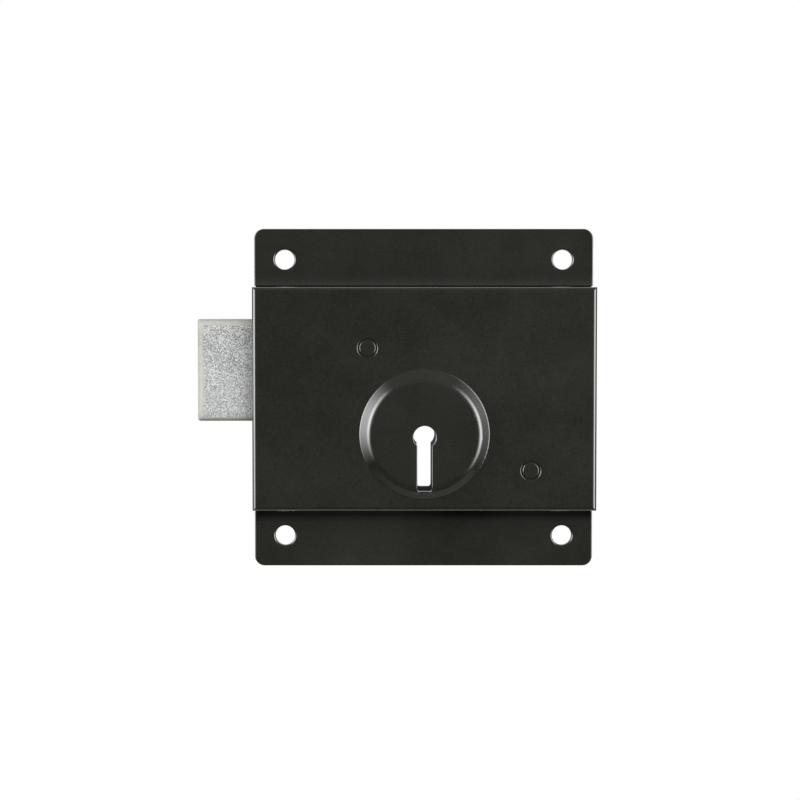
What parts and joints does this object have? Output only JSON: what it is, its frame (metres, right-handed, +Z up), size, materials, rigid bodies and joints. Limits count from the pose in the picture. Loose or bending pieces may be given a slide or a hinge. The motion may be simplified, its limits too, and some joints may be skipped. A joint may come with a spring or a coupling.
{
  "type": "press lock",
  "caption": "Surface-fixed lever lock in a black pressed-steel case with top and bottom flanges, a raised keyhole boss and a sliding grey deadbolt.",
  "frame": {"origin": "centre of the four fixing holes, on the mounting plane at the back of the flanges", "axes": "+X to the right seen from the front, away from the bolt; +Z up; the front with the keyhole boss faces -Y and the mounting plane is y = 0"},
  "size_m": [0.1174, 0.0195, 0.1016],
  "materials": {
    "black_coat": "semi-gloss black powder coat with a fine orange peel",
    "zinc_casting": "grey die casting with a tumbled, speckled grain",
    "plated_steel": "zinc-plated sheet steel",
    "pillar_steel": "bright turned steel",
    "lever_brass": "stamped brass",
    "spring_steel": "blued spring steel"
  },
  "bodies": {
    "case": {"case": "black_coat", "back_plate": "plated_steel", "guide_pillar": "pillar_steel", "pivot_pillar": "pillar_steel", "lever_separator": "plated_steel", "pivot_spacer": "pillar_steel", "guide_washer": "plated_steel"},
    "bolt": {"bolt_head": "zinc_casting", "bolt_tail": "plated_steel", "bolt_rivets": "pillar_steel", "bolt_stump": "pillar_steel"},
    "lever_back": {"lever_back": "lever_brass", "lever_spring_back": "spring_steel"},
    "lever_front": {"lever_front": "lever_brass", "lever_spring_front": "spring_steel"}
  },
  "joints": [
    {"name": "bolt_throw", "type": "slide", "parent": "case", "child": "bolt", "axis": [1, 0, 0], "range_m": [0, 0.016]},
    {"name": "lever_back_lift", "type": "hinge", "parent": "case", "child": "lever_back", "pos_m": [0.0308, -0.009, -0.0207], "axis": [0, 1, 0], "range_deg": [0, 12.1], "deforming": ["lever_spring_back"]},
    {"name": "lever_front_lift", "type": "hinge", "parent": "case", "child": "lever_front", "pos_m": [0.0308, -0.0118, -0.0207], "axis": [0, 1, 0], "range_deg": [0, 12.1], "deforming": ["lever_spring_front"]}
  ],
  "couplings": [
    {"joint": "lever_back_lift", "follows": "bolt_throw", "rad_per_m": 13.09},
    {"joint": "lever_front_lift", "follows": "bolt_throw", "rad_per_m": 13.09}
  ]
}
